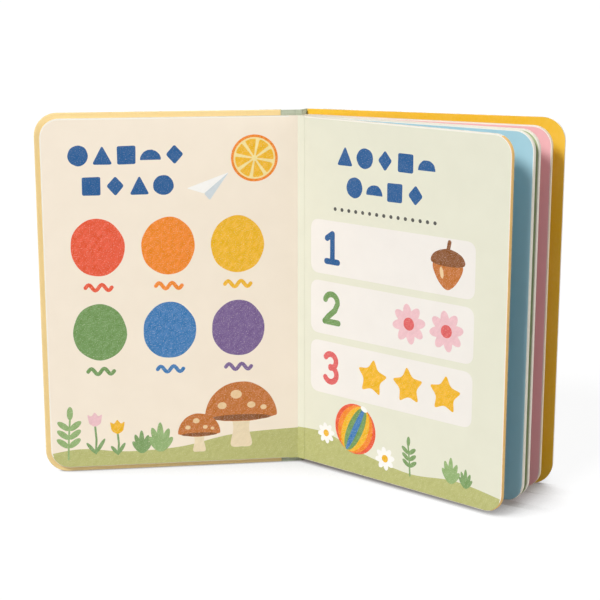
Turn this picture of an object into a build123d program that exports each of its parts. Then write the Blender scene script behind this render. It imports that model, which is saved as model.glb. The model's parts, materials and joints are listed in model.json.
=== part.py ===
from build123d import *

import os
from math import cos, radians, sin

# A children's board book that stands open on its tail edges.
# The front cover, with the first leaf pasted inside it, is turned to the left.
# The other leaves fan out to the right, and the back cover stands behind them.
# Sizes are in millimetres and angles in degrees. +Z is up, and the reader looks along +Y.

# Leaves
LEAF_WIDTH = 146.0
LEAF_HEIGHT = 205.0
LEAF_THICKNESS = 2.4
LEAF_CORNER_RADIUS = 11.0
LEAF_EDGE_RADIUS = 0.3
GLUE_DEPTH = 3.0

# Covers: how far they stand out past the leaves, their board and its wrapped edges
COVER_SQUARE = 3.0
COVER_THICKNESS = 2.8
COVER_CORNER_RADIUS = 13.0
COVER_EDGE_RADIUS = 0.6
LINING_THICKNESS = 0.4

# Cloth of the spine: the joint is the bare cloth between a fold and the board beside it
CLOTH_THICKNESS = 0.5
CLOTH_BEND_RADIUS = 0.4
JOINT_WIDTH = 9.5
CLOTH_OVERLAP = 12.0
SPINE_THICKNESS = 1.4
SPINE_EDGE_RADIUS = 0.5

# Room at a fold between the two boards that turn on it
FOLD_GAP = 0.3

# How far each board is swung forward from the book's own plane
FRONT_ANGLE = 8.0
LEAF_ANGLES = (41.4, 33.4, 31.8, 25.1)
BACK_ANGLE = 19.4

# Sizes that follow from those above
COVER_HEIGHT = LEAF_HEIGHT + 2 * COVER_SQUARE
COVER_END = LEAF_WIDTH + COVER_SQUARE
FOLD_ROOM = FOLD_GAP / 2
FIRST_LEAF_BACK = FOLD_ROOM + LEAF_THICKNESS
LINING_BACK = FOLD_ROOM + LINING_THICKNESS


def along(angle):
    """Direction in plan from the fold to the fore-edge of a board on the right."""
    return Vector(cos(radians(angle)), -sin(radians(angle)), 0)


def behind(angle):
    """Direction in plan through the thickness of that board, away from its reader."""
    return Vector(sin(radians(angle)), cos(radians(angle)), 0)


def board(start, end, low, high, corner_radius, depth, thickness, edge_radius):
    """A flat board: X from fold to fore-edge, Y through its thickness, Z up.

    The two corners at the fore-edge are round, and the long edges are eased."""
    middle = Pos((start + end) / 2, (low + high) / 2)
    outline = middle * Rectangle(end - start, high - low)
    outline = fillet(outline.vertices().sort_by(Axis.X)[-2:], corner_radius)
    solid = Pos(0, depth, 0) * extrude(Plane.XZ * outline, -thickness)
    if edge_radius > 0:
        faces = solid.faces().filter_by(Axis.Y)
        binding_end = solid.faces().sort_by(Axis.X)[0].edges()
        solid = fillet([edge for edge in faces.edges() if edge not in binding_end], edge_radius)
    return solid


def on_left(solid):
    """Turns a board or cloth to the left of the front fold."""
    return Rot(0, 0, FRONT_ANGLE) * mirror(solid, about=Plane.YZ)


def on_right(solid, fold, angle):
    """Turns a board or cloth to the right of the given fold."""
    return Pos(fold) * Rot(0, 0, -angle) * solid


def leaf_corners():
    """Plan points where the leaves of the block meet at their folds, front to back."""
    first = LEAF_ANGLES[0]
    points = [FOLD_ROOM * along(first) + FOLD_ROOM * behind(first)]
    for angle in LEAF_ANGLES:
        points.append(points[-1] + LEAF_THICKNESS * behind(angle))
    return points


def back_fold():
    """Plan point of the fold that the back cover turns on."""
    last = LEAF_ANGLES[-1]
    return leaf_corners()[-1] + FOLD_ROOM * behind(last) - FOLD_ROOM * along(last)


def upright(points, low, high, round_points=(), radius=0):
    """A solid standing on a closed outline in plan, with some of its corners made round."""
    outline = make_face(Polyline(*points, close=True))
    if round_points:
        corners = [outline.vertices().sort_by_distance(point)[0] for point in round_points]
        outline = fillet(corners, radius)
    return Pos(0, 0, low) * extrude(outline, high - low)


def page_block():
    """The fanned leaves, glued to each other along the folds as one block."""
    corners = leaf_corners()
    glue_line = []
    block = None
    for number, angle in enumerate(LEAF_ANGLES):
        leaf = board(0, LEAF_WIDTH - FOLD_ROOM, COVER_SQUARE, COVER_SQUARE + LEAF_HEIGHT,
                     LEAF_CORNER_RADIUS, 0, LEAF_THICKNESS, LEAF_EDGE_RADIUS)
        leaf = on_right(leaf, corners[number], angle)
        block = leaf if block is None else block + leaf
        glue_line.append(corners[number] + GLUE_DEPTH * along(angle))
        glue_line.append(corners[number + 1] + GLUE_DEPTH * along(angle))
    low = COVER_SQUARE + LEAF_EDGE_RADIUS
    high = COVER_SQUARE + LEAF_HEIGHT - LEAF_EDGE_RADIUS
    return block + upright(corners + glue_line[::-1], low, high)


def spine():
    """The cloth-covered strip glued over the bound ends of the leaves.

    It stops short of both folds, so that the covers can be opened wide."""
    corners = leaf_corners()
    front_margin = CLOTH_THICKNESS + FOLD_GAP
    back_margin = LINING_THICKNESS + CLOTH_THICKNESS + FOLD_GAP
    inner = [corners[1] + front_margin * behind(LEAF_ANGLES[1])]
    outward = [LEAF_ANGLES[1]]
    for number in range(2, len(LEAF_ANGLES)):
        inner.append(corners[number])
        outward.append((LEAF_ANGLES[number - 1] + LEAF_ANGLES[number]) / 2)
    inner.append(corners[-1] - back_margin * behind(LEAF_ANGLES[-1]))
    outward.append(LEAF_ANGLES[-1])
    outer = [point - SPINE_THICKNESS * along(angle) for point, angle in zip(inner, outward)]
    ends = [outer[0], outer[-1]]
    return upright(inner + outer[::-1], 0, COVER_HEIGHT, ends, SPINE_EDGE_RADIUS)


def joint_cloth(depth):
    """Cloth that runs from a fold across the joint, up the board's end and over its outside."""
    outside = depth + COVER_THICKNESS
    bend = JOINT_WIDTH - CLOTH_THICKNESS
    bends = [(bend, outside + CLOTH_THICKNESS), (bend, depth + CLOTH_THICKNESS)]
    points = [
        (FOLD_ROOM, depth),
        (JOINT_WIDTH, depth),
        (JOINT_WIDTH, outside),
        (JOINT_WIDTH + CLOTH_OVERLAP, outside),
        (JOINT_WIDTH + CLOTH_OVERLAP, outside + CLOTH_THICKNESS),
        *bends,
        (FOLD_ROOM, depth + CLOTH_THICKNESS),
    ]
    return upright(points, 0, COVER_HEIGHT, bends, CLOTH_BEND_RADIUS)


def cover_board(depth):
    """A cover's board, from the cloth joint to the fore-edge."""
    return board(JOINT_WIDTH, COVER_END, 0, COVER_HEIGHT, COVER_CORNER_RADIUS,
                 depth, COVER_THICKNESS, COVER_EDGE_RADIUS)


first_leaf = board(FOLD_ROOM, LEAF_WIDTH, COVER_SQUARE, COVER_SQUARE + LEAF_HEIGHT,
                   LEAF_CORNER_RADIUS, FOLD_ROOM, LEAF_THICKNESS, LEAF_EDGE_RADIUS)
lining = board(FOLD_ROOM, COVER_END, 0, COVER_HEIGHT, COVER_CORNER_RADIUS,
               FOLD_ROOM, LINING_THICKNESS, 0)

nodes = {
    "front_cover": on_left(cover_board(FIRST_LEAF_BACK)),
    "first_leaf": on_left(first_leaf),
    "front_joint_cloth": on_left(joint_cloth(FIRST_LEAF_BACK)),
    "page_block": page_block(),
    "spine": spine(),
    "back_cover": on_right(cover_board(LINING_BACK), back_fold(), BACK_ANGLE),
    "back_lining": on_right(lining, back_fold(), BACK_ANGLE),
    "back_joint_cloth": on_right(joint_cloth(LINING_BACK), back_fold(), BACK_ANGLE),
}

# The origin goes to the middle of the book's footprint, on the surface that it stands on.
footprint = Compound(list(nodes.values())).bounding_box()
centre = Vector(footprint.center().X, footprint.center().Y, 0)

os.makedirs("parts", exist_ok=True)
for name, solid in nodes.items():
    export_step(Pos(-centre) * solid, f"parts/{name}.step")

# Facts for the record: the size, the two folds, the turn that shuts each cover, and a tail edge
tail_edge = nodes["front_cover"].faces().sort_by(Axis.Z)[0].center()
print("size", footprint.size)
print("front fold", -centre)
print("back fold", back_fold() - centre)
print("front cover shuts at", 180 - FRONT_ANGLE - LEAF_ANGLES[0])
print("back cover shuts at", BACK_ANGLE - LEAF_ANGLES[-1])
print("tail edge", tail_edge - centre)
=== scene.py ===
# %% [markdown]
# # A board book that stands open
# The book has two stiff covers, a cloth spine and five thick leaves. Its solids come in ready-made,
# at their real size and place. This lesson dresses them: it cuts the print into the pages, wraps
# the spine in cloth, and gives each surface the finish of paper, board or cloth.

# %% Load the solids
import json
import math
import random

import bmesh
import bpy
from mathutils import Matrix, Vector
from mathutils.geometry import delaunay_2d_cdt


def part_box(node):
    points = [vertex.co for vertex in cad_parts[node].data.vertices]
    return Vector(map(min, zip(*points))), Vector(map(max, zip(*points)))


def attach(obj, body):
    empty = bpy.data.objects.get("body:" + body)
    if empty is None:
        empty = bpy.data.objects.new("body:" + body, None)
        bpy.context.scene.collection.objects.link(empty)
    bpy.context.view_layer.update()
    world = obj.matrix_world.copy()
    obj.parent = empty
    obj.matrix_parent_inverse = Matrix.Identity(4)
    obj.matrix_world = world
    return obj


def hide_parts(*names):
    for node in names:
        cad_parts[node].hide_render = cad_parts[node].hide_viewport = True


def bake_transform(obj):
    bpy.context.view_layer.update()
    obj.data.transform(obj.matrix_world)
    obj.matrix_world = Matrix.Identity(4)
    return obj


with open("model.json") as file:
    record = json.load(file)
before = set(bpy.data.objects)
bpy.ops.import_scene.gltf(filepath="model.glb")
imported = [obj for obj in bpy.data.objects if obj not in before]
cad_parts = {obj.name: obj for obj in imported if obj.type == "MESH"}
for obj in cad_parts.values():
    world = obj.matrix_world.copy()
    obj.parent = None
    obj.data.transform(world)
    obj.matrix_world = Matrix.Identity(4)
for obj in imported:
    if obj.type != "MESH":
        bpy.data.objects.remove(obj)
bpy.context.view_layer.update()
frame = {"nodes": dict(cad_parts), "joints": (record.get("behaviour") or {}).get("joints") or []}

print("solids:", ", ".join(sorted(frame["nodes"])))

# %% [markdown]
# ## Sizes
# Blender works in metres, and paper is measured in millimetres, so one factor turns the one into
# the other. The two folds that the covers turn on and the heights of the leaves and covers are read
# from the solids. The other sizes are those that the book was drawn with.

# %% Sizes of the book
MM = 0.001
leaf_width = 146 * MM
leaf_thickness = 2.4 * MM
fold_room = 0.15 * MM
leaf_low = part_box("first_leaf")[0].z
leaf_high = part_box("first_leaf")[1].z
cover_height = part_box("front_cover")[1].z
front_angle = 8.0
leaf_angles = (41.4, 33.4, 31.8, 25.1)
back_angle = 19.4
folds = {joint["child"]: Vector(joint["pos_m"]) for joint in frame["joints"]}
print(f"leaves {(leaf_high - leaf_low) / MM:.1f} mm high, covers {cover_height / MM:.1f} mm")

# %% [markdown]
# ## Where each board stands
# Every board of the book is flat and upright, so its place is a fold and an angle. A small class
# keeps those two and answers one question: where is the point this far along the board, this far
# behind its reading side and this high? Each leaf starts where the one before it ends, one
# thickness further back, because that is how leaves are bound.

# %% Stands of the boards
class Stand:
    """An upright board: the fold it starts at, the way along it and the way through it."""

    def __init__(self, fold, angle, side):
        turn = math.radians(angle)
        self.fold = fold
        self.along = Vector((side * math.cos(turn), -math.sin(turn), 0))
        self.behind = Vector((side * math.sin(turn), math.cos(turn), 0))

    def point(self, along, behind, up=0.0):
        return self.fold + along * self.along + behind * self.behind + Vector((0, 0, up))


front_stand = Stand(folds["front_cover"], front_angle, -1)
spread_stand = Stand(folds["front_cover"], leaf_angles[0], 1)
back_stand = Stand(folds["back_cover"], back_angle, 1)
leaf_stands = []
corners = [spread_stand.point(fold_room, fold_room)]
for angle in leaf_angles:
    leaf_stands.append(Stand(corners[-1], angle, 1))
    corners.append(leaf_stands[-1].point(0, leaf_thickness))
bound_width = (corners[-1] - corners[0]).length / MM
print(f"the bound ends of the leaves are {bound_width:.1f} mm across")

# %% [markdown]
# ## Shader maths as Python
# A material is a net of nodes. Wiring it by hand hides the idea, so one class wraps a socket and
# lets Python's own operators add the Math nodes. Any other node comes from the method `node`, which
# takes its type, its settings and what goes into its sockets.

# %% A socket that can be reckoned with
class Signal:
    """A socket of a material's net of nodes, used in sums as a number is."""

    def __init__(self, tree, socket=None):
        self.tree = tree
        self.socket = socket

    def node(self, kind, settings=None, sockets=None, output=0):
        made = self.tree.nodes.new(kind)
        for name, value in (settings or {}).items():
            setattr(made, name, value)
        for name, value in (sockets or {}).items():
            if isinstance(value, Signal):
                self.tree.links.new(value.socket, made.inputs[name])
            else:
                made.inputs[name].default_value = value
        return Signal(self.tree, made.outputs[output])

    def maths(self, operation, other=0.0):
        return self.node("ShaderNodeMath", {"operation": operation}, {0: self, 1: other})

    def __add__(self, other):
        return self.maths("ADD", other)

    def __sub__(self, other):
        return self.maths("SUBTRACT", other)

    def __rsub__(self, other):
        return self.node("ShaderNodeMath", {"operation": "SUBTRACT"}, {0: other, 1: self})

    def __mul__(self, other):
        return self.maths("MULTIPLY", other)

    __radd__ = __add__
    __rmul__ = __mul__

    def between(self, low, high):
        """0 below low, 1 above high, and a straight ramp between them."""
        limits = {0: self, 1: low, 2: high, 3: 0.0, 4: 1.0}
        return self.node("ShaderNodeMapRange", {"clamp": True}, limits)

    def contrast(self):
        """Noise keeps near its middle, so that part is drawn out from 0 to 1."""
        return self.between(0.3, 0.7)

    def colours(self, start, end):
        """A colour that goes from start to end as this signal goes from 0 to 1."""
        return self.node("ShaderNodeMix", {"data_type": "RGBA"}, {0: self, 6: start, 7: end}, 2)

    def noise(self, scale, detail=2.0, stretch=(1.0, 1.0, 1.0), turn=0.0):
        """Noise over these coordinates, drawn out by stretch and turned in the plane."""
        spread = {"Vector": self, "Rotation": (0.0, 0.0, turn), "Scale": stretch}
        place = self.node("ShaderNodeMapping", {"vector_type": "TEXTURE"}, spread)
        return self.node("ShaderNodeTexNoise", {}, {"Vector": place, "Scale": scale, "Detail": detail})


print("a signal adds the node that each sum needs")

# %% [markdown]
# ## Starting a finish
# Every finish of the book starts from the same shader, which has a socket for each thing that light
# does on a surface. Colours are chosen as a screen shows them and turned into the light that the
# shader reckons with. Fine relief, such as fibres and threads, goes in as a bump.

# %% Helpers for finishes
def srgb(red, green, blue):
    """A screen colour, each part from 0 to 255, as the linear light that shaders use."""
    parts = [part / 255 for part in (red, green, blue)]
    return (*[p / 12.92 if p <= 0.04045 else ((p + 0.055) / 1.055) ** 2.4 for p in parts], 1.0)


white = srgb(255, 255, 255)
black = srgb(0, 0, 0)


def towards(colour, other, share):
    """A colour moved by a share of the way to another."""
    return tuple(a + (b - a) * share for a, b in zip(colour, other))


def shaded(signal, colour, deep, pale):
    """From a colour with a share of black in it to one with a share of white."""
    return signal.colours(towards(colour, black, deep), towards(colour, white, pale))


def new_finish(name, roughness, specular):
    """A material with its shader, and a Signal to start its net of nodes from."""
    material = bpy.data.materials.new(name)
    material.use_nodes = True
    shader = material.node_tree.nodes["Principled BSDF"]
    shader.inputs["Roughness"].default_value = roughness
    shader.inputs["Specular IOR Level"].default_value = specular
    return material, shader, Signal(material.node_tree)


def feed(shader, socket, signal):
    signal.tree.links.new(signal.socket, shader.inputs[socket])


def dent(shader, height, depth, strength):
    """Small relief: height in shares of depth, which is in metres."""
    relief = {"Strength": strength, "Distance": depth, "Height": height}
    feed(shader, "Normal", height.node("ShaderNodeBump", {}, relief))


print("mid grey on the screen is", round(srgb(128, 128, 128)[0], 3), "of full light")

# %% [markdown]
# ## Ink on board
# The pictures look drawn with wax crayons and are printed on uncoated board. Up close a crayon
# leaves slanted strokes and skips the dips of the paper, so the ink goes a little darker and lighter
# in streaks, with fine specks. Layers of noise do that: one is drawn out along the stroke, and the
# others are even. Plain printed fields use the same ink without that grain.

# %% Ink
sheet_map = "Sheet"
paper = srgb(250, 240, 224)
stroke_turn = math.radians(52)
stroke_stretch = (1.7, 0.9, 1.0)
stroke_scale, cloud_scale, tooth_scale, fibre_scale = 0.45, 0.06, 1.5, 5.0
skip_low, skip_high, skip_share = 0.54, 0.7, 0.31
ink_relief = 0.03 * MM


def ink(name, colour, grain):
    """Printed ink; grain from 0, an even field, to 1, a waxy crayon."""
    material, shader, start = new_finish(name, roughness=0.5, specular=0.15)
    sheet = start.node("ShaderNodeUVMap", {"uv_map": sheet_map})
    strokes = sheet.noise(stroke_scale, stretch=stroke_stretch, turn=stroke_turn).contrast()
    clouds = sheet.noise(cloud_scale).contrast()
    tooth = sheet.noise(tooth_scale, detail=3.0)
    fibres = sheet.noise(fibre_scale)
    streaks = strokes * grain + clouds * (1 - grain)
    body = shaded(streaks, colour, deep=0.02 + 0.1 * grain, pale=0.02 + 0.03 * grain)
    skips = tooth.between(skip_low, skip_high) * (skip_share * grain)
    feed(shader, "Base Color", skips.colours(body, paper))
    feed(shader, "Roughness", 0.46 + tooth * 0.16)
    dent(shader, fibres * 0.7 + strokes * (0.3 * grain), ink_relief, strength=0.25)
    return material


print("paper reflects", [round(part, 2) for part in paper[:3]])

# %% [markdown]
# ## The inks
# A printer would mix these from four colours. Here each has its own tone and its own grain. The
# large fields are even, the crayon colours are grainy, and drawn lines lie between them.

# %% Mix the inks
ink_tones = {
    "bare_paper": ((250, 246, 236), 0.0),
    "cream_field": ((249, 236, 217), 0.0),
    "green_field": ((233, 232, 212), 0.0),
    "white_panel": ((244, 239, 232), 0.0),
    "red": ((240, 86, 46), 1.0),
    "orange": ((249, 138, 10), 1.0),
    "yellow": ((248, 188, 14), 1.0),
    "green": ((114, 155, 86), 1.0),
    "blue": ((54, 124, 186), 1.0),
    "purple": ((120, 93, 148), 1.0),
    "deep_blue": ((32, 92, 150), 0.5),
    "pencil_grey": ((84, 84, 80), 0.4),
    "rose": ((228, 96, 96), 0.9),
    "petal_pink": ((244, 198, 204), 0.8),
    "brown": ((200, 116, 44), 1.0),
    "dark_brown": ((140, 82, 36), 1.0),
    "stem_cream": ((243, 224, 188), 0.8),
    "spot_cream": ((240, 205, 156), 0.8),
    "hill_green": ((190, 191, 120), 0.8),
    "leaf_green": ((150, 182, 116), 1.0),
    "moss_green": ((126, 162, 98), 1.0),
    "chalk": ((255, 253, 248), 0.5),
    "pale_slate": ((214, 222, 226), 0.6),
    "pith": ((253, 230, 160), 0.7),
    "blue_page": ((174, 213, 224), 0.0),
    "sage_page": ((188, 202, 156), 0.0),
    "pink_page": ((244, 189, 191), 0.0),
    "gold_page": ((236, 187, 66), 0.0),
}
finishes = {name: ink(name, srgb(*tone), grain) for name, (tone, grain) in ink_tones.items()}
print(len(finishes), "inks mixed")

# %% [markdown]
# ## Cut edges
# A guillotine cuts through the plies of the board and leaves fine streaks along the edge. On most
# leaves the edge shows the white board. On the first turned leaf it is stained golden. The streaks
# are noise that is drawn out along the edge, for which the edge has its own coordinates: the way
# round the leaf and the way over its edge. Each leaf is two printed sheets, pasted together, and
# the seam between them shows as a thin darker line half way.

# %% Cut board
seam_place = 1.77
seam_half_width = 0.14
ply_stretch = (9.0, 0.28, 1.0)
nick_scale = 0.35
edge_relief = 0.06 * MM


def cut_board(name, colour):
    """The side of a leaf: u runs round the leaf and v over its edge, both in millimetres."""
    material, shader, start = new_finish(name, roughness=0.75, specular=0.5)
    edge = start.node("ShaderNodeUVMap", {"uv_map": sheet_map})
    plies = edge.noise(1.0, detail=3.0, stretch=ply_stretch)
    nicks = edge.noise(nick_scale)
    depth = start.node("ShaderNodeSeparateXYZ", {}, {0: edge}, 1)
    seam = (depth - seam_place).maths("ABSOLUTE").between(0.0, seam_half_width)
    tone = (plies * 0.7 + nicks * 0.3).contrast() * (0.45 + seam * 0.55)
    feed(shader, "Base Color", shaded(tone, colour, deep=0.16, pale=0.12))
    dent(shader, plies * 0.5 + seam * 0.5, edge_relief, strength=0.35)
    return material


edge_tones = {
    "white_cut_edge": (243, 235, 217),
    "cream_cut_edge": (235, 217, 183),
    "golden_cut_edge": (244, 194, 108),
}
for name, tone in edge_tones.items():
    finishes[name] = cut_board(name, srgb(*tone))
print(len(edge_tones), "kinds of cut edge")

# %% [markdown]
# ## Round outlines
# The print is made of outlines in millimetres, as the reader sees the page: u to the right and v
# up. An outline is a list of points. The first helpers draw ovals, arcs and petals, and one lets an
# outline wander a little, as a hand does that draws round a coin.

# %% Ovals, arcs and petals
def oval(u, v, across, up, steps=40, turn=0.0):
    """An oval by its half width and half height, turned about its middle."""
    c, s = math.cos(turn), math.sin(turn)
    angles = [math.tau * step / steps for step in range(steps)]
    flat = [(across * math.cos(a), up * math.sin(a)) for a in angles]
    return [(u + c * x - s * y, v + s * x + c * y) for x, y in flat]


def arc(u, v, radius, start, end, steps=14):
    """Points on part of a circle, by its angles in degrees."""
    angles = [math.radians(start + (end - start) * step / steps) for step in range(steps + 1)]
    return [(u + radius * math.cos(a), v + radius * math.sin(a)) for a in angles]


def petal(u, v, length, width, angle):
    """A leaf or petal that grows from a point at an angle in degrees."""
    turn = math.radians(angle)
    middle = (u + length / 2 * math.cos(turn), v + length / 2 * math.sin(turn))
    return oval(*middle, length / 2, width / 2, 20, turn)


def hand_drawn(points, amount, seed):
    """Moves an outline in and out a little, smoothly, as a hand does."""
    draw = random.Random(seed)
    waves = [(count, draw.uniform(0, math.tau), amount / count ** 0.5) for count in (2, 3, 5, 8)]
    middle_u = sum(u for u, v in points) / len(points)
    middle_v = sum(v for u, v in points) / len(points)
    drawn = []
    for u, v in points:
        angle = math.atan2(v - middle_v, u - middle_u)
        push = sum(size * math.sin(count * angle + start) for count, start, size in waves)
        drawn.append((u + push * math.cos(angle), v + push * math.sin(angle)))
    return drawn


print("a disc has", len(oval(0, 0, 1, 1)), "points")

# %% [markdown]
# ## Corners, curves and lines
# Printed shapes have no sharp corners, so one helper rounds the corners of any outline with a short
# curve. Another draws a smooth curve through a few chosen points, which is how hills are drawn. A
# third turns a path into the outline of a line that was drawn with a round tip.

# %% Corners, curves and lines
longest_share = 0.45


def shares(steps):
    """Even shares from 0 to 1."""
    return [step / steps for step in range(steps + 1)]


def soften(points, radius, steps=5):
    """Rounds the corners of an outline with short curves, which leave some of each side straight."""
    made = []
    for number, corner in enumerate(points):
        corner = Vector(corner)
        before = Vector(points[number - 1]) - corner
        after = Vector(points[(number + 1) % len(points)]) - corner
        start = corner + before.normalized() * min(radius, before.length * longest_share)
        end = corner + after.normalized() * min(radius, after.length * longest_share)
        for share in shares(steps):
            made.append(tuple(start.lerp(corner, share).lerp(corner.lerp(end, share), share)))
    return made


def smooth(points, steps=6, closed=True):
    """A smooth curve through the points."""
    places = [Vector(point) for point in points]
    if closed:
        places = [places[-1], *places, places[0], places[1]]
    else:
        places = [places[0], *places, places[-1]]
    made = []
    for a, b, c, d in zip(places, places[1:], places[2:], places[3:]):
        for t in shares(steps)[:-1]:
            curve = 2 * b + (c - a) * t + (2 * a - 5 * b + 4 * c - d) * t ** 2
            made.append(tuple((curve + (3 * b - a - 3 * c + d) * t ** 3) / 2))
    return made if closed else made + [tuple(places[-1])]


def line(points, width, steps=8):
    """The outline of a line that was drawn with a round tip."""
    places = [Vector(point) for point in points]
    ways = [(b - a).normalized() for a, b in zip(places, places[1:])]
    headings = [ways[0]] + [(a + b).normalized() for a, b in zip(ways, ways[1:])] + [ways[-1]]
    half = width / 2
    right = [place + half * Vector((way.y, -way.x)) for place, way in zip(places, headings)]
    left = [place - half * Vector((way.y, -way.x)) for place, way in zip(places, headings)]
    tips = []
    for place, way, turn in ((places[-1], ways[-1], -90), (places[0], ways[0], 90)):
        heading = math.degrees(math.atan2(way.y, way.x)) + turn
        tips.append(arc(place.x, place.y, half, heading, heading + 180, steps)[1:-1])
    return [tuple(p) for p in right] + tips[0] + [tuple(p) for p in reversed(left)] + tips[1]


def block(left, low, right, high, radius, steps=5):
    return soften([(left, low), (right, low), (right, high), (left, high)], radius, steps)


print("a block has", len(block(0, 0, 1, 1, 0.2)), "points")

# %% [markdown]
# ## The page to print on
# A page is a rectangle with two round corners on its fore-edge, the side that opens. Its coordinates
# are millimetres from the lower left corner. A left page is a right page in the mirror.

# %% Outline of a page
page_width = (leaf_width - fold_room) / MM
page_height = (leaf_high - leaf_low) / MM
leaf_corner = 11.0
corner_steps = 12


def page_outline(inset, fore_side):
    """The page's outline with its two round corners on the fore-edge, drawn inwards by inset."""
    low, high, left, right = inset, page_height - inset, inset, page_width - inset
    radius = leaf_corner - inset
    lower = arc(right - radius, low + radius, radius, -90, 0, corner_steps)
    upper = arc(right - radius, high - radius, radius, 0, 90, corner_steps)
    points = [(left, low), *lower, *upper, (left, high)]
    return points if fore_side == "right" else [(page_width - u, v) for u, v in points]


print(f"a page prints on {page_width:.1f} x {page_height:.1f} mm")

# %% [markdown]
# ## The cutter
# A print could be an image, but then it would blur up close. Here the page itself is cut along
# every outline, and each small face takes the ink of the topmost shape on it. Blender's constrained
# triangulation does the cutting and says which outlines each triangle lies in. It wants its outlines
# to go round to the left, so those that go the other way are turned about.

# %% Cut the print
cut_inside = 1
same_point = 1e-4


def cut_print(outline, shapes):
    """Points and faces of the printed side, and for each face the number of its topmost shape."""
    points, loops = [], []
    for loop in [outline] + [loop for name, loop in shapes]:
        area = sum(a[0] * b[1] - b[0] * a[1] for a, b in zip(loop, loop[1:] + loop[:1]))
        loops.append(list(range(len(points), len(points) + len(loop))))
        points += [Vector(point) for point in (loop if area > 0 else loop[::-1])]
    found = delaunay_2d_cdt(points, [], loops, cut_inside, same_point, True)
    places, faces, owners = found[0], found[2], found[5]
    kept = [(face, max(owner)) for face, owner in zip(faces, owners) if 0 in owner]
    used = sorted({index for face, top in kept for index in face})
    renumbered = {index: number for number, index in enumerate(used)}
    cuts = [[renumbered[index] for index in face] for face, top in kept]
    return [places[index] for index in used], cuts, [top for face, top in kept]


def border(cuts):
    """The points round the outside of the faces, in order."""
    sides = {(cut[n - 1], cut[n]) for cut in cuts for n in range(len(cut))}
    after = {a: b for a, b in sides if (b, a) not in sides}
    loop = [min(after)]
    while after[loop[-1]] != loop[0]:
        loop.append(after[loop[-1]])
    return loop


def outward(flat, loop):
    """For each point of the border, the way that keeps its sides parallel as it moves outwards."""
    ways = []
    for number, index in enumerate(loop):
        here = flat[index]
        before = (here - flat[loop[number - 1]]).normalized()
        after = (flat[loop[(number + 1) % len(loop)]] - here).normalized()
        first = Vector((before.y, -before.x))
        second = Vector((after.y, -after.x))
        ways.append((first + second) / (1 + first.dot(second)))
    return ways


plain_cuts = cut_print(page_outline(0, "right"), [])[1]
print("a bare page is cut into", len(plain_cuts), "triangles")

# %% [markdown]
# ## The edge of a leaf
# Round the printed side run the bare rim, the eased edge, the cut side, and then the same at the
# back. Seen in section that is a short line of steps, each so far out and so deep. The leaf is made
# by moving the border of the print along those steps, so it follows the round corners by itself.

# %% Section through the edge
rim_width = 0.4
leaf_easing = 0.3
easing_steps = 4


def quarter_turn(steps):
    """Even steps of angle from nothing to a right angle."""
    return [math.pi / 2 * step / steps for step in range(steps + 1)]


def edge_section():
    """Steps out from the border of the print and down, from its rim round the side to the back."""
    thick = leaf_thickness / MM
    easing = []
    for turn in quarter_turn(easing_steps):
        easing.append((rim_width + leaf_easing * math.sin(turn), leaf_easing * (1 - math.cos(turn))))
    side = easing + [(out, thick - depth) for out, depth in reversed(easing)]
    return [(0, 0), *side, (0, thick)]


def lengths_along(points):
    """How far along a line of points each of them lies."""
    lengths = [0.0]
    for before, after in zip(points, points[1:]):
        lengths.append(lengths[-1] + math.dist(before, after))
    return lengths


section = edge_section()
over_edge = lengths_along(section)
print(f"the edge is {over_edge[-1]:.1f} mm from the print round to the back")

# %% [markdown]
# ## Faces of a leaf
# Each face of a leaf has a finish and two sets of flat coordinates. The first, in millimetres, is
# what inks and cut edges are grained by. The second lays all faces side by side in one square
# without overlaps: the print on the left, the edge as a thin band on the far right, and the back as
# a small copy between them. Whoever paints the leaf's finishes into an image uses that square.

# %% Faces of the print, the edge and the back
bake_margin = 0.01
bake_span = 0.98
bake_scale = bake_span / page_height
back_left, back_share = 0.71, 0.36
back_scale = back_share * bake_scale
band_left, band_width = 0.975, 0.015
band_scale = band_width / over_edge[-1]


def laid(sheet, left, scale):
    """Flat coordinates moved to their place in the square."""
    return [(left + u * scale, bake_margin + v * scale) for u, v in sheet]


def print_faces(flat, cuts, names):
    made = []
    for cut, name in zip(cuts, names):
        sheet = [tuple(flat[index]) for index in cut]
        made.append((cut, name, sheet, laid(sheet, bake_margin, bake_scale)))
    return made


def edge_faces(rings, around, finish_of):
    """Bands of faces from ring to ring; finish_of names the finish at a step and a place."""
    made = []
    round_scale = bake_span / around[-1]
    for level, (inner, outer) in enumerate(zip(rings, rings[1:])):
        near, far = over_edge[level], over_edge[level + 1]
        for n in range(len(inner)):
            m = (n + 1) % len(inner)
            here, there = around[n], around[n + 1]
            sheet = [(there, near), (here, near), (here, far), (there, far)]
            bake = [(band_left + v * band_scale, bake_margin + u * round_scale) for u, v in sheet]
            made.append(([inner[m], inner[n], outer[n], outer[m]], finish_of(level, n, m), sheet, bake))
    return made


def back_face(spots, ring, name):
    face = ring[::-1]
    sheet = [spots[index][:2] for index in face]
    return (face, name, sheet, laid(sheet, back_left, back_scale))


print("the print fills", round(page_width * bake_scale, 2), "of the square's width")

# %% [markdown]
# ## A whole leaf
# One function makes any leaf from its place in the book, its print and its finishes. The print stops
# a hair short of the edge and leaves a bare rim, except at the foot, where the ink runs off. The
# fore-edge may have its own finish, because that is the edge a bookbinder stains.

# %% Leaf
side_limit = 0.8


def placed(name, data):
    """A new object of the scene, with its mesh, lamp or camera."""
    made = bpy.data.objects.new(name, data)
    bpy.context.scene.collection.objects.link(made)
    return made


def new_piece(name, spots, faces, materials):
    """A new object with a mesh of these points and faces."""
    mesh = bpy.data.meshes.new(name)
    mesh.from_pydata(spots, [], faces)
    for material in materials:
        mesh.materials.append(material)
    return placed(name, mesh)


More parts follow.
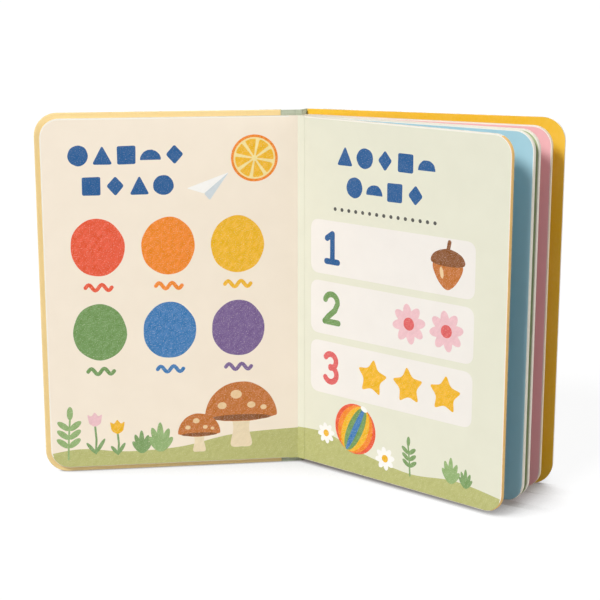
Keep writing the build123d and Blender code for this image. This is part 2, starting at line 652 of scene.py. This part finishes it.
def joined(name, spots, skin):
    """One closed mesh from points of the book and faces with their finishes and flat coordinates."""
    palette = list(dict.fromkeys(finish for face, finish, sheet, bake in skin))
    faces = [face for face, finish, sheet, bake in skin]
    piece = new_piece(name, spots, faces, [finishes[finish] for finish in palette])
    mesh = piece.data
    slots = [palette.index(finish) for face, finish, sheet, bake in skin]
    mesh.polygons.foreach_set("material_index", slots)
    for map_name, part in ((sheet_map, 2), ("OFBake", 3)):
        layer = mesh.uv_layers.new(name=map_name)
        layer.data.foreach_set("uv", [number for face in skin for uv in face[part] for number in uv])
    return piece


def leaf(name, place, fore_side, shapes, field, foot, edges, back):
    """A leaf; place turns u, v and depth into a point of the book.

    Field is its even ink, foot the ink that runs off its lower edge and back the ink behind. The
    first of its two edges is the fore-edge, the second is the other three sides.
    """
    flat, cuts, tops = cut_print(page_outline(leaf_easing + rim_width, fore_side), shapes)
    loop = border(cuts)
    ways = outward(flat, loop)
    spots = [(*point, 0.0) for point in flat]
    rings = [loop]
    for out, depth in section[1:]:
        rings.append(list(range(len(spots), len(spots) + len(loop))))
        spots += [(*(flat[index] + out * way), depth) for index, way in zip(loop, ways)]
    fore_sign = 1 if fore_side == "right" else -1

    def edge_finish(level, n, m):
        way = ways[n] + ways[m]
        if level == 0:
            return foot if way.y < -side_limit else "bare_paper"
        if level == len(section) - 2:
            return "bare_paper"
        return edges[0] if way.x * fore_sign > side_limit else edges[1]

    names = [field] + [ink_name for ink_name, shape in shapes]
    around = lengths_along([flat[index] for index in loop + loop[:1]])
    skin = print_faces(flat, cuts, [names[top] for top in tops])
    skin += edge_faces(rings, around, edge_finish)
    skin.append(back_face(spots, rings[-1], back))
    piece = joined(name, [place(*spot) for spot in spots], skin)
    is_edge = [len(cuts) <= number < len(skin) - 1 for number in range(len(skin))]
    piece.data.polygons.foreach_set("use_smooth", is_edge)
    piece.data.validate()
    print(f"{name}: {len(cuts)} printed faces, {len(shapes)} shapes")
    return piece


def on_left_page(u, v, depth):
    return front_stand.point(leaf_width - u * MM, fold_room + depth * MM, leaf_low + v * MM)


def on_leaf(stand):
    return lambda u, v, depth: stand.point(u * MM, depth * MM, leaf_low + v * MM)


print("a leaf is one closed mesh of print, edge and back")

# %% [markdown]
# ## Rows of shapes
# A motif is a list of inks and outlines about a point of its own, so it can be stamped anywhere in
# any size. Plain shapes in a row and a small wave are the simplest motifs of the book.

# %% Rows of shapes and waves
row_size = 11.6
row_wobble = 0.12
wave_length, wave_height, wave_width = 15, 1.7, 2.2
wave_steps = 24


def stamped(motif, u, v, size=1.0):
    """A motif moved to its place on the page, in its size there."""
    return [(name, [(u + size * x, v + size * y) for x, y in shape]) for name, shape in motif]


def shape_row(kinds, gap, name):
    """A row of plain shapes: disc, block, peak, moon or diamond."""
    half = row_size / 2
    side, waist = half * 0.9, half * 0.85
    forms = {
        "disc": oval(0, 0, half, half, 28),
        "block": block(-side, -side, side, side, 1.2),
        "peak": soften([(-half, -side), (half, -side), (0, half)], 1.8),
        "moon": soften(arc(0, -half / 2, half, 0, 180, 16), 0.3, 2),
        "diamond": soften([(0, -half), (waist, 0), (0, half), (-waist, 0)], 1.4),
    }
    row = []
    for number, kind in enumerate(kinds):
        row += stamped([(name, hand_drawn(forms[kind], row_wobble, number))], number * gap, 0)
    return row


def wave(name):
    """A line with two crests."""
    points = []
    for share in shares(wave_steps):
        points.append((wave_length * (share - 0.5), wave_height * math.sin(share * 2 * math.tau)))
    return [(name, line(points, wave_width))]


print("a row of", len(shape_row(["disc"] * 4, 12, "blue")), "and a wave of", len(wave("blue")), "shape")

# %% [markdown]
# ## Plants
# Stems are lines, leaves and petals are ovals that grow from a point, and a tulip's cup is a zigzag
# with soft corners. They all stand on a hill, so they are drawn from the foot of the stem.

# %% Plants
def sprig(height, name, lean):
    """A stem with three pairs of leaves and one at its tip."""
    long, broad = height * 0.36, height * 0.15
    shapes = [(name, line([(0, 0), (lean * 0.35, height / 2), (lean, height)], 1.1))]
    for share in (0.3, 0.52, 0.74):
        for angle in (38, 142):
            shapes.append((name, petal(lean * share, height * share, long, broad, angle)))
    return shapes + [(name, petal(lean, height, height * 0.34, broad, 88))]


def tuft(size, name):
    """A few blades of grass from one root, which is a little under the ground."""
    root = 1
    blades = ((126, 0.62), (108, 0.86), (90, 1.0), (70, 0.82), (50, 0.6))
    return [(name, petal(0, -root, size * share + root, size * 0.24, angle)) for angle, share in blades]


def tulip(height, name):
    left_side = [(-2.0, 5.4), (-4.4, 7.2), (-3.4, 1.2)]
    right_side = [(-x, y) for x, y in reversed(left_side)]
    cup = [(0, -0.8)] + right_side + [(0, 8.6)] + left_side
    shapes = [("moss_green", line([(0, 0), (0.6, height / 2), (0, height)], 1.2))]
    for share, angle in ((0.62, 58), (0.5, 128)):
        shapes.append(("moss_green", petal(0, 0, height * share, 2.2, angle)))
    return shapes + stamped([(name, soften(cup, 1.3, 4))], 0, height)


def daisy(radius, name, heart):
    shapes = [(name, petal(0, 0, radius, radius * 0.52, 45 * number + 10)) for number in range(8)]
    return shapes + [(heart, oval(0, 0, radius * 0.32, radius * 0.32, 22))]


def mushroom(seed):
    stem = smooth([(-5.6, 0), (0, -1), (5.6, 0), (4.2, 9), (4.4, 18), (-4.4, 18), (-4.2, 9)])
    top = arc(0, 16, 19, 0, 180, 22)
    under = smooth([(-19, 16), (-9, 13.6), (0, 13), (9, 13.6), (19, 16)], 5, closed=False)
    dome = hand_drawn(soften(top + under[1:-1], 1.6, 3), 0.15, seed)
    gills = oval(0, 15.2, 16, 1.7, 28)
    shapes = [("stem_cream", stem), ("brown", dome), ("dark_brown", gills)]
    for u, v, across in ((-10, 22, 2.4), (-2.5, 28, 3.0), (5.5, 22, 2.2), (12, 20.5, 1.7)):
        shapes.append(("spot_cream", oval(u, v, across, across * 0.8, 20)))
    return shapes


print("a tulip has", len(tulip(15, "yellow")), "shapes")

# %% [markdown]
# ## Things to see and count
# A slice of fruit, a folded paper plane, an acorn, a star and a striped ball are made of flat
# shapes on top of each other, as they would be cut from coloured paper.

# %% Things to see and count
def fruit_slice(radius, wedges=8):
    pith_radius, wedge_radius, heart_radius = radius * 0.89, radius * 0.82, radius * 0.08
    shapes = [("orange", oval(0, 0, radius, radius)), ("pith", oval(0, 0, pith_radius, pith_radius))]
    for number in range(wedges):
        middle = 360 / wedges * number + 12
        tip = arc(0, 0, heart_radius, middle, middle, 1)[:1]
        wedge = tip + arc(0, 0, wedge_radius, middle - 17, middle + 17, 4)
        shapes.append(("yellow", soften(wedge, 1.0, 3)))
    return shapes


def paper_plane():
    nose, tail, crease, keel_tip = (21, 14), (0, 6.4), (8.6, 3.6), (11.4, 0.2)
    wing = soften([tail, nose, crease], 0.8)
    keel = soften([crease, nose, keel_tip], 0.8)
    return [("chalk", wing), ("pale_slate", keel)]


def acorn():
    nut = smooth([(0, -11.5), (6.6, -6), (8.2, 2), (-8.2, 2), (-6.6, -6)], 8)
    cap = smooth([(-9.8, 1.6), (0, 0.2), (9.8, 1.6), (8.2, 6.4), (0, 9.0), (-8.2, 6.4)], 8)
    stalk = line([(0, 8.0), (0.8, 12.4)], 2.2)
    shine = oval(-3.6, -3.2, 1.1, 3.0, 18, 0.18)
    return [("brown", nut), ("dark_brown", cap), ("dark_brown", stalk), ("spot_cream", shine)]


def star(radius, name, turn):
    points = []
    for number in range(10):
        reach = radius if number % 2 == 0 else radius * 0.52
        angle = math.radians(90 + turn + 36 * number)
        points.append((reach * math.cos(angle), reach * math.sin(angle)))
    return [(name, soften(points, radius * 0.2, 4))]


def striped_ball(radius, turn):
    stripes = (("red", 1.0), ("orange", 0.82), ("yellow", 0.6), ("green", 0.36), ("blue", 0.13))
    shapes = [(name, oval(0, 0, radius * share, radius, 44, turn)) for name, share in stripes]
    pole = (-radius * 0.97 * math.sin(turn), radius * 0.97 * math.cos(turn))
    return shapes + [("chalk", oval(*pole, radius * 0.17, radius * 0.1, 18, turn))]


print("a slice of fruit has", len(fruit_slice(10)), "shapes")

# %% [markdown]
# ## Numerals
# The numbers are drawn as lines with a round tip, from arcs and straight strokes, so they need no
# typeface. Each is about 17 mm high and has its middle at its place.

# %% Numerals
numeral_width = 3.5
two_bow = arc(0, 3.9, 4.6, 165, -8, 16) + [(2.6, -0.8), (-2.0, -4.6), (-5.0, -7.9)]
numeral_lines = {
    "1": [[(-3.4, 5.4), (0.6, 8.2)], [(0.6, 8.2), (0.6, -8.0)], [(-3.8, -8.0), (4.6, -8.0)]],
    "2": [two_bow, [(-5.0, -7.9), (5.2, -7.9)]],
    "3": [arc(-0.4, 4.4, 4.1, 150, -90, 18), arc(-0.4, -3.6, 4.5, 90, -150, 18)],
}


def numeral(figure, name):
    return [(name, line(points, numeral_width)) for points in numeral_lines[figure]]


print("numerals", ", ".join(numeral_lines))

# %% [markdown]
# ## The first page
# The cream page on the left is pasted inside the front cover, so it rides with that cover. Six
# crayon discs from red to purple fill it, each with a small wave of its own colour. Two rows of
# plain shapes run along the top, and plants grow along the foot.

# %% Print of the first page
disc_columns = (30.5, 70.8, 110.8)
disc_rows = (131.2, 81.3)
disc_inks = (("red", "orange", "yellow"), ("green", "blue", "purple"))
disc_half_width, disc_half_height = 15.3, 16.9
disc_wobble = 0.22
wave_drop = 23.4
row_gap = 13.6
under_page = [(150, -4), (-4, -4)]

left_hill = smooth([(-4, 8), (18, 11), (44, 8.5), (76, 10), (108, 16.5), (150, 19)], 8, closed=False)
first_plants = [
    (sprig(24, "leaf_green", lean=1.5), 10, 5),
    (tulip(17, "petal_pink"), 26, 8),
    (tulip(13, "yellow"), 39, 7),
    (tuft(13, "moss_green"), 53, 8),
    (tuft(17, "leaf_green"), 64, 8.5),
    (mushroom(seed=3), 112, 9.5, 1.12),
    (mushroom(seed=7), 87, 7, 0.66),
]
first_print = [("hill_green", left_hill + under_page)]
for plant in first_plants:
    first_print += stamped(*plant)
for row, names in zip(disc_rows, disc_inks):
    for column, name in zip(disc_columns, names):
        disc = oval(column, row, disc_half_width, disc_half_height, 56)
        first_print.append((name, hand_drawn(disc, disc_wobble, len(first_print))))
        first_print += stamped(wave(name), column, row - wave_drop)
first_head = [
    (shape_row(("disc", "peak", "block", "moon", "diamond"), row_gap, "deep_blue"), 21, 184),
    (shape_row(("block", "diamond", "peak", "disc"), row_gap, "deep_blue"), 28, 166.5),
    (fruit_slice(13.5), 121, 181),
    (paper_plane(), 82, 157, 1.15),
]
for motif in first_head:
    first_print += stamped(*motif)
print(len(first_print), "shapes on the first page")

# %% [markdown]
# ## The first leaf
# The print is cut into the leaf, and the leaf takes the place of its plain solid. All its cut edges
# are white, and its back is pasted to the cover, so it stays bare.

# %% First page
white_edges = ("white_cut_edge", "white_cut_edge")
first_page = leaf("first_page", on_left_page, "left", first_print, "cream_field", "hill_green",
                  white_edges, "bare_paper")
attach(first_page, "front_cover")
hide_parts("first_leaf")

# %% [markdown]
# ## The counting page
# The pale green leaf on the right has three white panels with the numbers 1, 2 and 3 and as many
# things to count: an acorn, two daisies and three stars. A dotted line runs above the panels.

# %% Print of the counting page
panel_left, panel_right = 10.0, 125.0
panel_height, panel_pitch = 31.4, 35.6
panel_foot = 44.3
panel_lows = [panel_foot + panel_pitch * number for number in (2, 1, 0)]
panel_corner = 6.0
numeral_place = 25.5
count_places = (56, 81.5, 107)
thing_radius = 11.5
wide_gap = 14.2
dot_left, dot_pitch, dot_count = 28, 5.0, 15
dot_height, dot_radius = 154, 1.1

right_hill = smooth([(-4, 19), (22, 20), (52, 13), (84, 9), (116, 12), (150, 8)], 8, closed=False)
counting_motifs = [
    (tuft(14, "leaf_green"), 112, 11),
    (tuft(10, "moss_green"), 122, 10.5),
    (sprig(17, "moss_green", lean=-1.5), 84, 8),
    (striped_ball(15, turn=-0.45), 44, 27),
    (daisy(6.4, "chalk", "yellow"), 22, 20),
    (daisy(7.0, "chalk", "yellow"), 66, 14),
    (shape_row(("peak", "disc", "diamond", "block", "moon"), wide_gap, "deep_blue"), 35, 184.5),
    (shape_row(("disc", "moon", "block", "diamond"), wide_gap, "deep_blue"), 42, 167.5),
]
counted = [
    ("1", "deep_blue", [stamped(acorn(), 0, 0, 1.1)]),
    ("2", "green", [daisy(thing_radius, "petal_pink", "rose")] * 2),
    ("3", "rose", [star(thing_radius, "yellow", turn) for turn in (-6, 5, -3)]),
]
count_print = [("hill_green", right_hill + under_page)]
for motif in counting_motifs:
    count_print += stamped(*motif)
for low, (figure, name, things) in zip(panel_lows, counted):
    middle = low + panel_height / 2
    panel = block(panel_left, low, panel_right, low + panel_height, panel_corner, 8)
    count_print.append(("white_panel", panel))
    count_print += stamped(numeral(figure, name), numeral_place, middle)
    for place, thing in zip(count_places[-len(things):], things):
        count_print += stamped(thing, place, middle)
for number in range(dot_count):
    dot = oval(dot_left + number * dot_pitch, dot_height, dot_radius, dot_radius, 14)
    count_print.append(("pencil_grey", dot))
print(len(count_print), "shapes on the counting page")

# %% [markdown]
# ## The leaves of the block
# Behind the counting page only a narrow strip of each leaf shows, in blue, sage or pink. Two pages
# that face each other share one colour, as in a printed spread. The leaves don't turn by themselves
# here: they stay fanned and ride with the page block. The fore-edge of the first is golden.

# %% Leaves of the block
fore_edges = ("golden_cut_edge", "white_cut_edge", "white_cut_edge", "cream_cut_edge")
fields = ("green_field", "blue_page", "sage_page", "pink_page", "gold_page")
for number, stand in enumerate(leaf_stands):
    shapes = count_print if number == 0 else []
    field, back = fields[number], fields[number + 1]
    foot = "hill_green" if number == 0 else field
    edges = (fore_edges[number], "white_cut_edge")
    piece = leaf(f"leaf_{number + 1}", on_leaf(stand), "right", shapes, field, foot, edges, back)
    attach(piece, "pages")
    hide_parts("page_block")
print(len(leaf_stands), "leaves in the block")

# %% [markdown]
# ## Strips that are raised
# The cloth and the sheet across the fold are thin strips that stand upright. Each is drawn in plan
# as pairs of points, one on each side of the strip, and raised through a few levels, so that it is a
# closed piece with a real thickness.

# %% Raise a strip
def raised_strip(name, pairs, levels, materials):
    """A closed strip: pairs of points in plan, one on each side of it, raised to its levels."""
    rows = len(levels[0])
    spots = []
    for pair, heights in zip(pairs, levels):
        spots += [side + Vector((0, 0, height)) for side in pair for height in heights]
    faces = []
    ring = [*range(rows), *reversed(range(rows, 2 * rows))]
    for number in range(len(pairs) - 1):
        a, b = 2 * rows * number, 2 * rows * (number + 1)
        for here, there in zip(ring, ring[1:] + ring[:1]):
            faces.append([a + here, b + here, b + there, a + there])
    last = 2 * rows * (len(pairs) - 1)
    for row in range(rows - 1):
        faces.append([row, row + 1, rows + row + 1, rows + row])
        faces.append([last + rows + row, last + rows + row + 1, last + row + 1, last + row])
    piece = new_piece(name, spots, faces, materials)
    shell = bmesh.new()
    shell.from_mesh(piece.data)
    bmesh.ops.recalc_face_normals(shell, faces=shell.faces)
    shell.to_mesh(piece.data)
    shell.free()
    print(f"{name}: {len(pairs)} pairs of points, {len(faces)} faces")
    return piece


print("a strip is closed on all sides")

# %% [markdown]
# ## The sheet across the fold
# The two pages that lie open are printed on one sheet, which is pasted over both boards and runs
# across the fold. In the book that thin strip bends when the cover turns; here it is a piece of its
# own, which carries the fields and the hill of both pages over the gap between the boards.

# %% Strip over the fold
strip_front = 0.03 * MM
strip_back = 0.11 * MM
strip_reaches = (5.2 * MM, 2.6 * MM, 0.5 * MM, 0.2 * MM)


def height_on(curve, u):
    """How high a curve that runs from left to right is at u."""
    for (before_u, before_v), (after_u, after_v) in zip(curve, curve[1:]):
        if before_u <= u <= after_u:
            return before_v + (after_v - before_v) * (u - before_u) / (after_u - before_u)


def strip_pair(stand, reach):
    return (stand.point(reach, strip_front), stand.point(reach, strip_back))


halfway = (front_stand.behind + spread_stand.behind).normalized()
halfway /= halfway.dot(front_stand.behind)
fold_pair = tuple(folds["front_cover"] + depth * halfway for depth in (strip_front, strip_back))
left_pairs = [strip_pair(front_stand, reach) for reach in strip_reaches]
right_pairs = [strip_pair(spread_stand, reach) for reach in reversed(strip_reaches)]
left_places = [(leaf_width - reach) / MM for reach in (*strip_reaches, 0)]
right_places = [(reach - fold_room) / MM for reach in (0, *reversed(strip_reaches))]
hill_heights = [height_on(left_hill, u) for u in left_places]
hill_heights += [height_on(right_hill, u) for u in right_places[1:]]
strip_levels = [(leaf_low, leaf_low + height * MM, leaf_high) for height in hill_heights]
strip_inks = [finishes[name] for name in ("cream_field", "hill_green", "green_field")]
strip_pairs = left_pairs + [fold_pair] + right_pairs
fold_strip = raised_strip("fold_strip", strip_pairs, strip_levels, strip_inks)

# %% [markdown]
# ## Print on the strip
# Left of the fold the strip shows the cream field, right of it the pale green one, and the hill runs
# across both. Its flat coordinates go on from those of the two pages, so the grain of the ink runs
# through.

# %% Fields of the strip
hill_middle = leaf_low + 12 * MM
points_per_pair = 2 * len(strip_levels[0])
fold_number = len(left_pairs)
layer = fold_strip.data.uv_layers.new(name=sheet_map)
for face in fold_strip.data.polygons:
    numbers = [index // points_per_pair for index in face.vertices]
    is_left = sum(numbers) < fold_number * len(numbers)
    face.material_index = 1 if face.center.z < hill_middle else 0 if is_left else 2
    for loop_index, corner, number in zip(face.loop_indices, face.vertices, numbers):
        up = (fold_strip.data.vertices[corner].co.z - leaf_low) / MM
        on_left, on_right = min(number, fold_number), max(number - fold_number, 0)
        layer.data[loop_index].uv = (left_places[on_left] if is_left else right_places[on_right], up)
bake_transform(fold_strip)
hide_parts("first_leaf")
print("strip over the fold:", round(2 * strip_reaches[0] / MM, 1), "mm wide")

# %% [markdown]
# ## Covers
# The covers are stiff board wrapped in paper. Their solids have the right form already, so they
# only get a finish: a faint fibre in the colour and the relief, and a soft sheen from the varnish.

# %% Cover paper
fibres_per_metre, clouds_per_metre = 900.0, 28.0
cover_relief = 0.04 * MM


def cover_paper(name, colour, roughness):
    material, shader, start = new_finish(name, roughness, specular=0.15)
    place = start.node("ShaderNodeTexCoord", {}, {}, "Object")
    fibre = place.noise(fibres_per_metre, detail=3.0, stretch=(1.0, 1.0, 2.2))
    tone = (fibre * 0.4 + place.noise(clouds_per_metre) * 0.6).contrast()
    feed(shader, "Base Color", shaded(tone, colour, deep=0.04, pale=0.06))
    feed(shader, "Roughness", roughness - 0.06 + fibre * 0.12)
    dent(shader, fibre, cover_relief, strength=0.2)
    return material


cover_tones = {
    "front_cover": ("pale_yellow_wrap", (246, 216, 150), 0.48),
    "back_cover": ("off_white_wrap", (226, 220, 208), 0.5),
    "back_lining": ("golden_lining", (247, 198, 44), 0.46),
}
for node, (name, tone, roughness) in cover_tones.items():
    mesh = frame["nodes"][node].data
    mesh.materials.clear()
    mesh.materials.append(cover_paper(name, srgb(*tone), roughness))
print("papered:", ", ".join(cover_tones))

# %% [markdown]
# ## Book cloth
# The spine is wrapped in one strip of sage cloth: it lies on the outside of both boards, dips into
# the joint beside each fold and runs round the bound ends of the leaves. A plain weave is two sets
# of threads that go over and under each other. Each set is a row of humps, and a chequer says which
# one is on top.

# %% Weave
thread_pitch = 0.42
slub_scale = 0.5
thread_relief = 0.12 * MM


def book_cloth(name, colour):
    material, shader, start = new_finish(name, roughness=0.85, specular=0.5)
    sheet = start.node("ShaderNodeUVMap", {"uv_map": sheet_map})
    turns = math.pi / thread_pitch
    warp = (start.node("ShaderNodeSeparateXYZ", {}, {0: sheet}, 0) * turns).maths("SINE")
    weft = (start.node("ShaderNodeSeparateXYZ", {}, {0: sheet}, 1) * turns).maths("SINE")
    over = (warp * weft).between(-0.25, 0.25)
    height = warp.maths("ABSOLUTE") * over + weft.maths("ABSOLUTE") * (1 - over)
    slubs_up = sheet.noise(slub_scale, detail=3.0, stretch=(0.5, 3.0, 1.0))
    slubs_across = sheet.noise(slub_scale, detail=3.0, stretch=(3.0, 0.5, 1.0))
    slubs = (slubs_up * 0.5 + slubs_across * 0.5).contrast()
    # Painted shade in the weave: the colour goes darker in the dips between the threads and lighter on
    # their crowns. The slubs add the threads' own uneven tone.
    tone = (height * 0.45 + slubs * 0.55).between(0.1, 0.9)
    feed(shader, "Base Color", shaded(tone, colour, deep=0.22, pale=0.2))
    dent(shader, height, thread_relief, strength=0.6)
    return material


sage_cloth = book_cloth("sage_book_cloth", srgb(190, 199, 168))
print("threads lie", thread_pitch, "mm apart")

# %% [markdown]
# ## The path of the cloth
# The cloth is drawn in plan as pairs of points, one on its outside and one on its inside. On a cover
# it runs from its edge over the board, bends down into the joint and lies there along the groove.
# Where it crosses a fold it follows an arc about that fold, because there every turn of the cover
# slides it along itself.

# %% Path of the cloth
cloth_thickness = 0.5 * MM
board_thickness = 2.8 * MM
joint_width = 9.5 * MM
cloth_overlap = 12 * MM
groove_end = 1.5 * MM
outer_bend = 0.6 * MM
inner_bend = 0.4 * MM
bend_steps = 5
crossing_steps = 14


def cover_pairs(stand, depth):
    """Outside and inside points from the edge of the cloth on a board to the end of its joint."""
    top = depth + board_thickness
    edge = joint_width + cloth_overlap
    pairs = [((edge, top + cloth_thickness), (edge, top))]
    over = Vector((joint_width + outer_bend - cloth_thickness, top + cloth_thickness - outer_bend))
    dip = Vector((joint_width - cloth_thickness - inner_bend, depth + cloth_thickness + inner_bend))
    for turn in quarter_turn(bend_steps):
        way = Vector((-math.sin(turn), math.cos(turn)))
        pairs.append((over + outer_bend * way, over + (outer_bend - cloth_thickness) * way))
    for turn in quarter_turn(bend_steps):
        way = Vector((math.cos(turn), -math.sin(turn)))
        pairs.append((dip + inner_bend * way, dip + (inner_bend + cloth_thickness) * way))
    pairs.append(((groove_end, depth + cloth_thickness), (groove_end, depth)))
    return [(stand.point(*outer), stand.point(*inner)) for outer, inner in pairs]


def crossing_pairs(fold, start, end, dip):
    """Points from one pair to the next on arcs about the fold, nearer to it by dip half way."""
    pairs = []
    for share in shares(crossing_steps)[1:-1]:
        pair = []
        for a, b in zip(start, end):
            first, second = a - fold, b - fold
            angle = math.atan2(first.y, first.x)
            sweep = (math.atan2(second.y, second.x) - angle) % math.tau
            turn = angle + share * (sweep - math.tau)
            reach = first.xy.length + share * (second.xy.length - first.xy.length)
            reach -= dip * math.sin(math.pi * share)
            pair.append(fold + reach * Vector((math.cos(turn), math.sin(turn), 0)))
        pairs.append(tuple(pair))
    return pairs


print(f"the cloth reaches {cloth_overlap / MM:.0f} mm over each board")

# %% [markdown]
# ## Round the bound ends
# Behind the folds the cloth runs over the bound ends of the leaves, on a thin lining. The ends stand
# at slightly different angles, so the outside is set off along the way that each of them faces.

# %% Cloth on the bound ends
spine_thickness = 1.4 * MM
first_step = 0.8 * MM
last_step = 1.2 * MM
alongs = [stand.along for stand in leaf_stands]
bound_ends = [corners[1] + first_step * leaf_stands[1].behind, corners[2], corners[3],
              corners[4] - last_step * leaf_stands[3].behind]
outward_ways = [alongs[1], alongs[1] + alongs[2], alongs[2] + alongs[3], alongs[3]]
spine_pairs = []
for inner, way in zip(bound_ends, outward_ways):
    spine_pairs.append((inner - spine_thickness * way.normalized(), inner))
middle_pair = tuple((a + b) / 2 for a, b in zip(spine_pairs[1], spine_pairs[2]))
print(len(spine_pairs), "pairs of points on the bound ends")

# %% [markdown]
# ## Two halves of cloth
# The cloth has to bend where the covers turn, so it is made in two halves that meet on the middle of
# the spine, one on the side of each cover. The weave runs over the
# cloth as it would lie flat, so its coordinates are the way along the plan and the height.

# %% Two halves of cloth
lining_thickness = 0.4 * MM
back_dip = 0.85 * MM
sharpest_bend = math.radians(40)
cloth_levels = (0.0, cover_height)


def cloth_half(name, pairs):
    """A strip of cloth as high as the covers, with its flat coordinates in millimetres."""
    piece = raised_strip(name, pairs, [cloth_levels] * len(pairs), [sage_cloth])
    ways = lengths_along([outer for outer, inner in pairs])
    mesh = piece.data
    layer = mesh.uv_layers.new(name=sheet_map)
    for corner in mesh.loops:
        up = mesh.vertices[corner.vertex_index].co.z
        way = ways[corner.vertex_index // (2 * len(cloth_levels))]
        layer.data[corner.index].uv = (way / MM, up / MM)
    mesh.polygons.foreach_set("use_smooth", [True] * len(mesh.polygons))
    mesh.set_sharp_from_angle(angle=sharpest_bend)
    print(f"{name}: a strip {ways[-1] / MM:.1f} mm wide")
    return piece, ways[-1]


front_run = cover_pairs(front_stand, fold_room + leaf_thickness)
front_cross = crossing_pairs(folds["front_cover"], front_run[-1], spine_pairs[0], 0.0)
front_path = front_run + front_cross + spine_pairs[:2] + [middle_pair]
front_cloth, front_wide = cloth_half("front_cloth", front_path)

back_run = cover_pairs(back_stand, fold_room + lining_thickness)[::-1]
back_cross = crossing_pairs(folds["back_cover"], spine_pairs[3], back_run[0], back_dip)
back_path = [middle_pair] + spine_pairs[2:] + back_cross + back_run
back_cloth, back_wide = cloth_half("back_cloth", back_path)

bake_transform(front_cloth)
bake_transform(back_cloth)
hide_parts("front_joint_cloth", "spine")
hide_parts("back_joint_cloth")

# %% [markdown]
# ## Floor
# The book stands on a pale floor that runs out past the view. For the camera, and in reflections,
# the floor has a glow of its own, so that it reads as white without more light on the book. The
# glow fades where the book closes the floor in from above and from the window's side, which keeps
# the soft shadow between the leaves.

# %% Floor
floor_reach = 40.0
overhead, window_side = (0.0, 0.0, 1.0), (-0.6, -0.4, 0.7)
near_shadow, long_shadow = 75 * MM, 130 * MM
open_glow, bounce_tone, seen_tone = 0.88, 0.45, 0.16
dusk = (0.17, 0.15, 0.14, 1.0)


def grey(level):
    return (level, level, level, 1.0)


def seen_by_eye(start):
    """1 for what is seen, straight on, in a reflection or through glass, and 0 for other light."""
    kinds = ("Is Camera Ray", "Is Glossy Ray", "Is Transmission Ray")
    rays = [start.node("ShaderNodeLightPath", {}, {}, kind) for kind in kinds]
    return (rays[0] + rays[1] + rays[2]).maths("MINIMUM", 1.0)


def openness(start, distance, facing):
    """How open the floor is towards one side, from 0 to 1, as far as a distance in metres."""
    facing_signal = start.node("ShaderNodeCombineXYZ", {}, dict(enumerate(facing)))
    sockets = {"Distance": distance, "Normal": facing_signal}
    return start.node("ShaderNodeAmbientOcclusion", {"samples": 16}, sockets, "AO")


floor_corners = [(x * floor_reach, y * floor_reach, 0) for x, y in ((-1, -1), (1, -1), (1, 1), (-1, 1))]
floor_finish, floor_shader, floor_start = new_finish("pale_floor", roughness=1.0, specular=0.0)
floor_shader.inputs["Emission Strength"].default_value = 1.0
seen = seen_by_eye(floor_start)
above = openness(floor_start, near_shadow, overhead).between(0.33, 0.77)
to_window = openness(floor_start, long_shadow, window_side).between(0.36, 0.76)
glow = above.maths("MAXIMUM", to_window).colours(dusk, grey(open_glow))
feed(floor_shader, "Base Color", seen.colours(grey(bounce_tone), grey(seen_tone)))
feed(floor_shader, "Emission Color", seen.colours(grey(0.0), glow))
floor = new_piece("floor", floor_corners, [[0, 1, 2, 3]], [floor_finish])
print("floor", 2 * floor_reach, "m wide")

# %% [markdown]
# ## Light
# One soft sun from the upper left lights the pages and lets the first leaf shade those behind it. A
# weaker, broader one stands low on the right, as a bright wall of a room would, and one behind the
# book shows the outsides of the covers. An even sky fills the shadows, and looks white.

# %% Suns and sky
sky_light = 0.28


def sun(name, strength, spread, azimuth, elevation):
    """A soft sun by its share of full light; azimuth 0 is behind the reader, 90 on the left."""
    lamp = bpy.data.lights.new(name, "SUN")
    lamp.energy = strength * math.pi
    lamp.angle = math.radians(spread)
    placed(name, lamp).rotation_euler = (math.radians(90 - elevation), 0, math.radians(-azimuth))


sun("window", strength=0.82, spread=16, azimuth=40, elevation=40)
sun("room", strength=0.46, spread=50, azimuth=-60, elevation=8)
sun("behind", strength=0.45, spread=50, azimuth=195, elevation=6)
sky = bpy.data.worlds.new("even_sky")
sky.use_nodes = True
sky_start = Signal(sky.node_tree)
lit = sky_start.node("ShaderNodeBackground", {}, {"Color": white, "Strength": sky_light})
shown = sky_start.node("ShaderNodeBackground", {}, {"Color": white, "Strength": 1.0})
both = sky_start.node("ShaderNodeMixShader", {}, {0: seen_by_eye(sky_start), 1: lit, 2: shown})
sky.node_tree.links.new(both.socket, sky.node_tree.nodes["World Output"].inputs["Surface"])
bpy.context.scene.world = sky
print("three soft suns and an even sky")

# %% [markdown]
# ## Camera
# The view is a little above the book and straight at its fold, with a long lens, as in a product
# picture. The place is measured from the front fold.

# %% Camera
camera_from_fold = Vector((1.3, -868.7, 299.5)) * MM
camera_tilt_down = 12.94
camera_lens, sensor_width = 91.2, 36.0

camera_data = bpy.data.cameras.new("camera")
camera_data.sensor_width = sensor_width
camera_data.lens = camera_lens
camera = placed("camera", camera_data)
camera.location = folds["front_cover"] + camera_from_fold
camera.rotation_euler = (math.radians(90 - camera_tilt_down), 0, 0)
bpy.context.scene.camera = camera
bpy.context.scene.view_settings.view_transform = "Standard"
print("camera at", tuple(round(part, 3) for part in camera.location))
